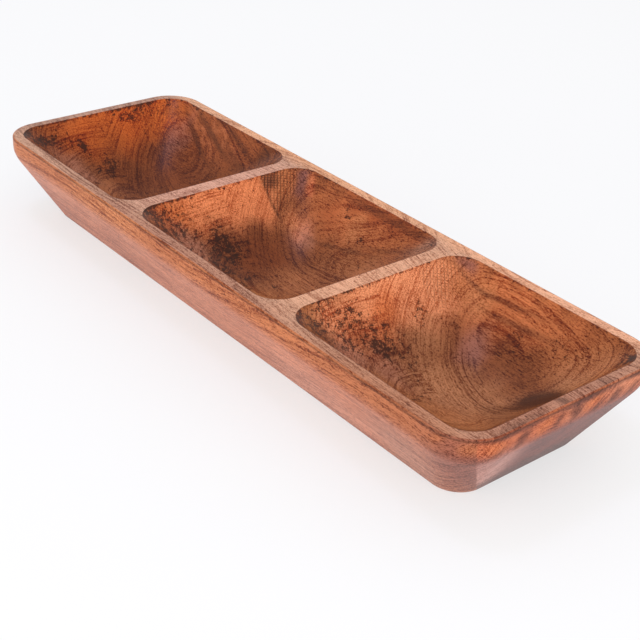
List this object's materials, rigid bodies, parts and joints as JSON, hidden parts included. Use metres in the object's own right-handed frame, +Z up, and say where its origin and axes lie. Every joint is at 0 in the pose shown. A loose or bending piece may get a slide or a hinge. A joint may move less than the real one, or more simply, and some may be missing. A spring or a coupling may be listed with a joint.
{
  "type": "three-compartment snack dish",
  "caption": "Long wooden serving dish with rounded-square bowls in a row, sloping sides and a flat base, glued up from full-length staves.",
  "frame": {"origin": "middle of the flat base, on the surface that the dish stands on", "axes": "+X along the dish, +Y towards its rear long side, +Z up through the rim"},
  "size_m": [0.38, 0.123, 0.0465],
  "materials": {
    "rear_wood": "oiled, satin, reddish brown with long dark streaks and ray fleck",
    "inner_rear_wood": "oiled, satin, orange brown with curved growth rings",
    "inner_front_wood": "oiled, satin, light orange brown with mottled end grain",
    "front_wood": "oiled, satin, pinkish brown with fine lengthwise grain"
  },
  "bodies": {
    "root": {"rear_stave": "rear_wood", "inner_rear_stave": "inner_rear_wood", "inner_front_stave": "inner_front_wood", "front_stave": "front_wood"}
  },
  "joints": []
}
